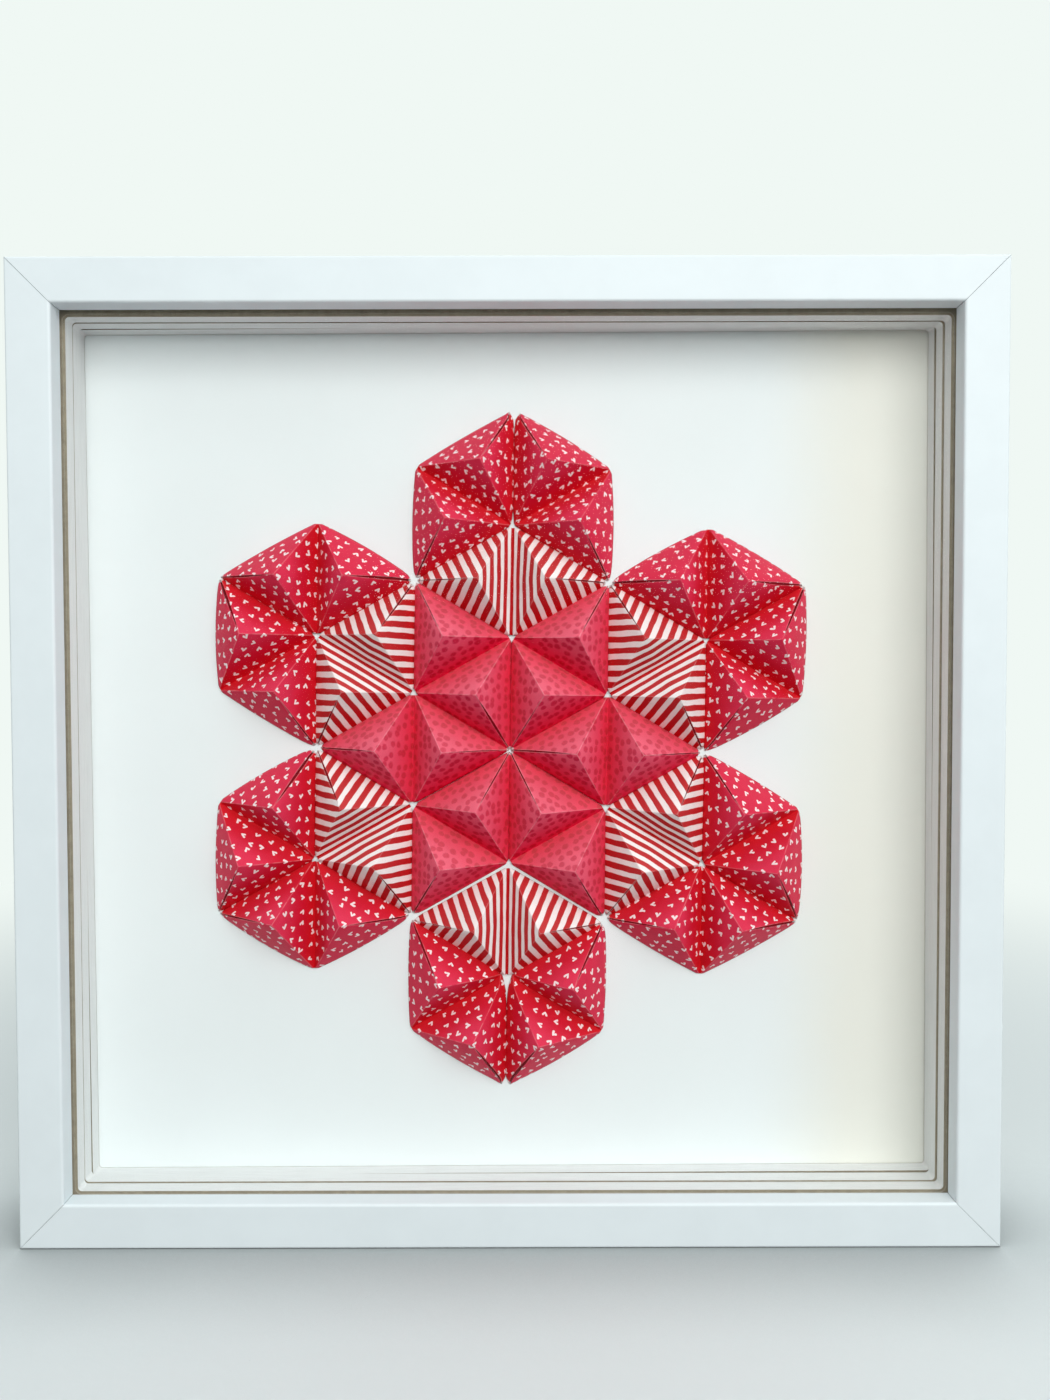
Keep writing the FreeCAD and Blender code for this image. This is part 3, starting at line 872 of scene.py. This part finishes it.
def lacquered_wood(colours):
    """White satin lacquer, bare wood at the back and a hairline in each mitre."""
    finish = Finish("white satin lacquer")
    place = finish.place()
    x, y, z = finish.split(place)
    beside = finish.maths("ABSOLUTE", x)
    above = finish.maths("ABSOLUTE", finish.maths("SUBTRACT", z, MIDDLE_Z))
    from_mitre = finish.maths("ABSOLUTE", finish.maths("SUBTRACT", beside, above))
    hairline = finish.step(from_mitre, *MITRE_LINE, 1.0, 0.0)
    soft = finish.noise(place, 60.0, 3.0, 0.6)
    white = finish.mottled(tuple(colours.lacquer), soft, 0.975)
    filler = finish.step(finish.noise(place, 70.0, 2.0), 0.38, 0.6, 0.05, 0.5)
    white = finish.blend(finish.maths("MULTIPLY", hairline, filler), white, MITRE_SHADE)
    fleck = finish.node("ShaderNodeTexVoronoi", feature="F1")
    finish.fill(fleck, Vector=place, Scale=24.0)
    rare = finish.step(finish.split(fleck.outputs["Color"])[1], 0.90, 0.91)
    speck = finish.step(fleck.outputs["Distance"], 0.006, 0.012, 1.0, 0.0)
    white = finish.blend(finish.maths("MULTIPLY", rare, speck), white, SPECK_SHADE)
    grain = finish.noise(place, 1.0, 4.0, 0.65, stretch=(900.0, 900.0, 60.0))
    upright = finish.step(finish.maths("SUBTRACT", beside, above), 0.0, 0.1 * MM)
    level_grain = finish.noise(place, 1.0, 4.0, 0.65, stretch=(60.0, 900.0, 900.0))
    grain = finish.maths("MULTIPLY", grain, upright)
    level_grain = finish.maths("MULTIPLY", level_grain, finish.maths("SUBTRACT", 1.0, upright))
    grain = finish.maths("ADD", grain, level_grain)
    wood = finish.blend(grain, shaded(colours.bare_wood, 0.72), tuple(colours.bare_wood))
    ragged = finish.maths("MULTIPLY_ADD", soft, 1.2 * MM, LACQUER_END)
    bare = finish.step(finish.maths("SUBTRACT", y, ragged), 0.0, 0.15 * MM)
    finish.set(
        Base_Color=finish.blend(bare, white, wood),
        Roughness=finish.maths("MULTIPLY_ADD", bare, 0.3, 0.46),
        Specular_IOR_Level=0.35,
    )
    under = finish.bump(finish.maths("SUBTRACT", 1.0, hairline), 0.06 * MM, 0.4)
    under = finish.bump(grain, 0.03 * MM, 0.35, under)
    peel = finish.noise(place, 850.0, 2.0, 0.5)
    finish.set(Normal=finish.bump(peel, 0.02 * MM, 0.35, under))
    return finish.material


def clear_glazing(colours):
    """Clear glass that lets the lamps reach what is behind it."""
    finish = Finish("clear picture glass")
    finish.set(
        Base_Color=tuple(colours.glass),
        Roughness=0.0,
        IOR=1.5,
        Transmission_Weight=1.0,
        Specular_Tint=tuple(colours.glass_shine for _ in range(3)),
    )
    rays = finish.node("ShaderNodeLightPath").outputs
    lamp = finish.maths("MAXIMUM", rays["Is Shadow Ray"], rays["Is Diffuse Ray"])
    open_way = finish.node("ShaderNodeBsdfTransparent").outputs["BSDF"]
    finish.show(finish.shaders(lamp, finish.shader.outputs["BSDF"], open_way))
    return finish.material


def lined_board(colours, front, thickness):
    """Brown board: raw on its flat faces and crushed rims, lined with white on its walls."""
    finish = Finish("white lined board")
    place = finish.place()
    _, y, _ = finish.split(place)
    depth = finish.maths("DIVIDE", finish.maths("SUBTRACT", y, front), thickness)
    depth = finish.maths("FRACT", depth)
    from_face = finish.maths("MINIMUM", depth, finish.maths("SUBTRACT", 1.0, depth))
    ragged = finish.maths("MULTIPLY_ADD", finish.noise(place, 260.0, 3.0, 0.6), 0.03, 0.018)
    lined = finish.step(finish.maths("SUBTRACT", from_face, ragged), 0.0, 0.012)
    facing = finish.split(finish.node("ShaderNodeNewGeometry").outputs["True Normal"])[1]
    flat = finish.step(finish.maths("ABSOLUTE", facing), 0.5, 0.8, 1.0, 0.0)
    lined = finish.maths("MULTIPLY", lined, flat)
    crumb = finish.noise(place, 1500.0, 3.0, 0.6)
    fleck = finish.noise(place, 420.0, 4.0, 0.7)
    dark, pale = (shaded(colours.raw_board, share) for share in (0.86, 1.06))
    brown = finish.blend(finish.step(fleck, *SPREAD), dark, pale)
    streak = finish.noise(place, 1.0, 3.0, 0.6, stretch=(90.0, 1400.0, 90.0))
    white = finish.mottled(tuple(colours.lining), streak, 0.94)
    finish.set(
        Base_Color=finish.blend(lined, brown, white),
        Roughness=finish.maths("MULTIPLY_ADD", lined, -0.2, 0.8),
        Normal=finish.bump(crumb, 0.04 * MM, 0.5),
    )
    return finish.material


def white_card(colours):
    """Smooth white mounting card with a faint tooth, and painted shade, darker and warmer, along
    its right side.
    """
    finish = Finish("white mounting card")
    place = finish.place()
    cloud = finish.noise(place, 28.0, 3.0, 0.55)
    tooth = finish.noise(place, 1900.0, 3.0, 0.65)
    # Painted shade along the right side, with a wandering edge.
    right_shade_mask = finish.maths("MULTIPLY_ADD", cloud, 14 * MM, finish.split(place)[0])
    right_shade_mask = finish.step(right_shade_mask, *RIGHT_SHADE_SPAN)
    white = finish.blend(right_shade_mask, tuple(colours.board), tuple(colours.board_right_shade))
    finish.set(
        Base_Color=finish.mottled(white, cloud, 0.985),
        Roughness=0.72,
        Normal=finish.bump(tooth, 0.03 * MM, 0.35),
    )
    return finish.material


def brown_hardboard(colours):
    """Hardboard: pressed brown fibre with darker flecks."""
    finish = Finish("brown hardboard")
    place = finish.place()
    fibre = finish.noise(place, 1.0, 6.0, 0.72, stretch=(420.0, 420.0, 260.0))
    fleck = finish.noise(place, 240.0, 5.0, 0.8)
    wood = tuple(colours.hardboard)
    base = finish.blend(finish.step(fibre, *SPREAD), wood, shaded(wood, 1.35))
    base = finish.blend(finish.step(fleck, 0.56, 0.68, 0.0, 0.7), base, shaded(wood, 0.55))
    finish.set(
        Base_Color=base,
        Roughness=0.66,
        Normal=finish.bump(fibre, 0.06 * MM, 0.5),
    )
    return finish.material


def plated_steel(name, base, roughness):
    """Plated sheet steel with rolling lines."""
    finish = Finish(name)
    place = finish.place()
    lines = finish.noise(place, 1.0, 3.0, 0.6, stretch=(120.0, 900.0, 2600.0))
    dull = finish.noise(place, 300.0, 3.0, 0.6)
    finish.set(
        Base_Color=finish.mottled(base, dull, 0.82),
        Metallic=1.0,
        Roughness=finish.maths("MULTIPLY_ADD", lines, 0.2, roughness),
        Normal=finish.bump(lines, 0.01 * MM, 0.4),
    )
    return finish.material


class STAR_OT_rails(bpy.types.Operator):
    """Finish of the four mitred rails"""

    bl_idname = "framed_star.rails"
    bl_label = "Rails"

    def execute(self, context):
        material = lacquered_wood(context.scene.star_frame)
        for side in ("bottom", "right", "top", "left"):
            dress(f"rail_{side}", material)
        return {"FINISHED"}


class STAR_OT_glazing(bpy.types.Operator):
    """Finish of the glass"""

    bl_idname = "framed_star.glazing"
    bl_label = "Glass"

    def execute(self, context):
        dress("glazing", clear_glazing(context.scene.star_frame))
        return {"FINISHED"}


class STAR_OT_fillings(bpy.types.Operator):
    """Finish of the spacer rings and the white board"""

    bl_idname = "framed_star.fillings"
    bl_label = "Rings and board"

    def execute(self, context):
        colours = context.scene.star_frame
        low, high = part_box("spacer_ring_front")
        material = lined_board(colours, low.y, high.y - low.y)
        for place in ("front", "middle", "rear"):
            dress(f"spacer_ring_{place}", material)
        dress("mount_board", white_card(colours))
        return {"FINISHED"}


class STAR_OT_back(bpy.types.Operator):
    """Finish of the back panel, its tabs, the hanger and the nails"""

    bl_idname = "framed_star.back"
    bl_label = "Back and fittings"

    def execute(self, context):
        dress("back_panel", brown_hardboard(context.scene.star_frame))
        zinc = plated_steel("zinc plated steel", (0.62, 0.62, 0.60), 0.30)
        for node in ("panel_tabs", "corner_v_nails"):
            dress(node, zinc)
        brassy = plated_steel("brass plated steel", (0.72, 0.56, 0.30), 0.24)
        for node in ("sawtooth_hanger", "hanger_rivets"):
            dress(node, brassy)
        return {"FINISHED"}


# ---- stage -------------------------------------------------------------------------------


def stage_world(stage):
    """Sky light, stronger overhead and on the right, with a plain backdrop to look at."""
    world = bpy.data.worlds.new("soft room")
    bpy.context.scene.world = world
    world.use_nodes = True
    sky = Wiring(world.node_tree)
    light = sky.node("ShaderNodeBackground")
    direction = sky.node("ShaderNodeTexCoord").outputs["Generated"]
    slope = sky.vector("DOT_PRODUCT", direction, (stage.sky_lean, 0, stage.sky_lift))
    strength = sky.maths("ADD", slope, stage.sky_strength)
    sky.fill(light, Color=tuple(stage.sky), Strength=strength)
    seen = sky.node("ShaderNodeBackground")
    sky.fill(seen, Color=tuple(stage.backdrop))
    rays = sky.node("ShaderNodeLightPath").outputs
    direct = sky.maths("MAXIMUM", rays["Is Camera Ray"], rays["Is Transmission Ray"])
    shiny = sky.maths("MAXIMUM", direct, rays["Is Glossy Ray"])
    mixed = sky.shaders(shiny, light.outputs[0], seen.outputs[0])
    sky.node("ShaderNodeOutputWorld", mixed)


FLOOR_SIZE = 6.0           # half of its side
CONTACT_SHADE_REACH = 55 * MM    # how far the frame darkens the floor beside it
HAZE_FROM = (0.22, 0.7)    # from the middle, where the floor fades into the backdrop


def stage_floor(stage):
    """Wide pale floor that fades into the backdrop, with a painted contact shadow beside the
    frame.
    """
    bm = bmesh.new()
    bmesh.ops.create_grid(bm, x_segments=1, y_segments=1, size=FLOOR_SIZE)
    mesh = bpy.data.meshes.new("floor")
    bm.to_mesh(mesh)
    bm.free()
    finish = Finish("pale floor")
    place = finish.place()
    cloud = finish.noise(place, 3.0, 3.0, 0.5)
    base = finish.mottled(tuple(stage.floor), cloud, 0.985)
    rays = finish.node("ShaderNodeLightPath").outputs
    # Painted contact shadow: an occlusion node darkens the floor's colour next to the frame.
    near = finish.node("ShaderNodeAmbientOcclusion", samples=12)
    finish.fill(near, Distance=CONTACT_SHADE_REACH)
    base = finish.blend(1.0, base, near.outputs["Color"], "MULTIPLY")
    bounced = finish.maths("MAXIMUM", rays["Is Diffuse Ray"], rays["Is Glossy Ray"])
    base = finish.blend(bounced, base, tuple(stage.floor_bounce))
    grain = finish.noise(place, 260.0, 3.0, 0.55)
    finish.set(Base_Color=base, Roughness=0.8, Normal=finish.bump(grain, 0.4 * MM, 0.25))
    far = finish.step(finish.vector("LENGTH", place), *HAZE_FROM)
    haze = finish.node("ShaderNodeEmission")
    finish.fill(haze, Color=tuple(stage.backdrop))
    paled_share = finish.maths("MULTIPLY", far, rays["Is Camera Ray"])
    finish.show(finish.shaders(paled_share, finish.shader.outputs["BSDF"], haze.outputs[0]))
    mesh.materials.append(finish.material)
    floor = bpy.data.objects.new("floor", mesh)
    bpy.context.scene.collection.objects.link(floor)


def stage_lamp(stage):
    """One large soft window light, high on the right in front."""
    lamp = bpy.data.lights.new("window light", "AREA")
    lamp.shape = "RECTANGLE"
    lamp.size = stage.key_width
    lamp.size_y = stage.key_height
    lamp.energy = stage.key_power
    lamp.color = (1.0, 0.985, 0.965)
    window = bpy.data.objects.new("window light", lamp)
    middle = Vector((0, 0, MIDDLE_Z))
    level = math.cos(stage.key_up)
    right, away = math.sin(stage.key_right) * level, math.cos(stage.key_right) * level
    towards = Vector((right, -away, math.sin(stage.key_up)))
    window.location = middle + towards * stage.key_distance
    aim = middle - window.location
    window.rotation_euler = aim.to_track_quat("-Z", "Y").to_euler()
    bpy.context.scene.collection.objects.link(window)


def stage_camera(stage):
    """Camera close to the frame, a little above its middle."""
    data = bpy.data.cameras.new("camera")
    data.lens = stage.lens
    data.sensor_width = 36
    data.clip_start = 0.01
    camera = bpy.data.objects.new("camera", data)
    camera.location = (stage.camera_right, -stage.camera_away, stage.camera_height)
    camera.rotation_euler = (math.pi / 2 + stage.camera_pitch, stage.camera_roll, 0)
    bpy.context.scene.collection.objects.link(camera)
    bpy.context.scene.camera = camera


class STAR_OT_stage(bpy.types.Operator):
    """Pale floor, soft light and the camera"""

    bl_idname = "framed_star.stage"
    bl_label = "Stage"

    def execute(self, context):
        stage = context.scene.star_stage
        stage_world(stage)
        stage_floor(stage)
        stage_lamp(stage)
        stage_camera(stage)
        context.scene.view_settings.view_transform = "Standard"
        return {"FINISHED"}


# ---- sidebar and registration ------------------------------------------------------------

BUILD_STEPS = (
    STAR_OT_stage,
    STAR_OT_rails,
    STAR_OT_glazing,
    STAR_OT_fillings,
    STAR_OT_back,
    STAR_OT_dotted,
    STAR_OT_striped,
    STAR_OT_hearts,
)

SETTINGS = {
    "star_folds": FoldSettings,
    "star_papers": PaperSettings,
    "star_frame": FrameSettings,
    "star_stage": StageSettings,
}


class STAR_PT_sidebar(bpy.types.Panel):
    """Sizes, colours and build steps of the framed star"""

    bl_label = "Framed Star"
    bl_idname = "STAR_PT_sidebar"
    bl_space_type = "VIEW_3D"
    bl_region_type = "UI"
    bl_category = "Framed Star"

    def draw(self, context):
        for name, group in SETTINGS.items():
            held = getattr(context.scene, name)
            column = self.layout.column(align=True)
            for key in group.__annotations__:
                column.prop(held, key)
        for step in BUILD_STEPS:
            self.layout.operator(step.bl_idname)


CLASSES = (*SETTINGS.values(), *BUILD_STEPS, STAR_PT_sidebar)


def register():
    """Adds the classes and the scene's settings."""
    for made in CLASSES:
        bpy.utils.register_class(made)
    for name, group in SETTINGS.items():
        setattr(bpy.types.Scene, name, bpy.props.PointerProperty(type=group))


def unregister():
    """Takes them away again."""
    for name in SETTINGS:
        delattr(bpy.types.Scene, name)
    for made in reversed(CLASSES):
        bpy.utils.unregister_class(made)


def main():
    register()
    for step in BUILD_STEPS:
        group, name = step.bl_idname.split(".")
        getattr(getattr(bpy.ops, group), name)()


if __name__ == "__main__":
    main()
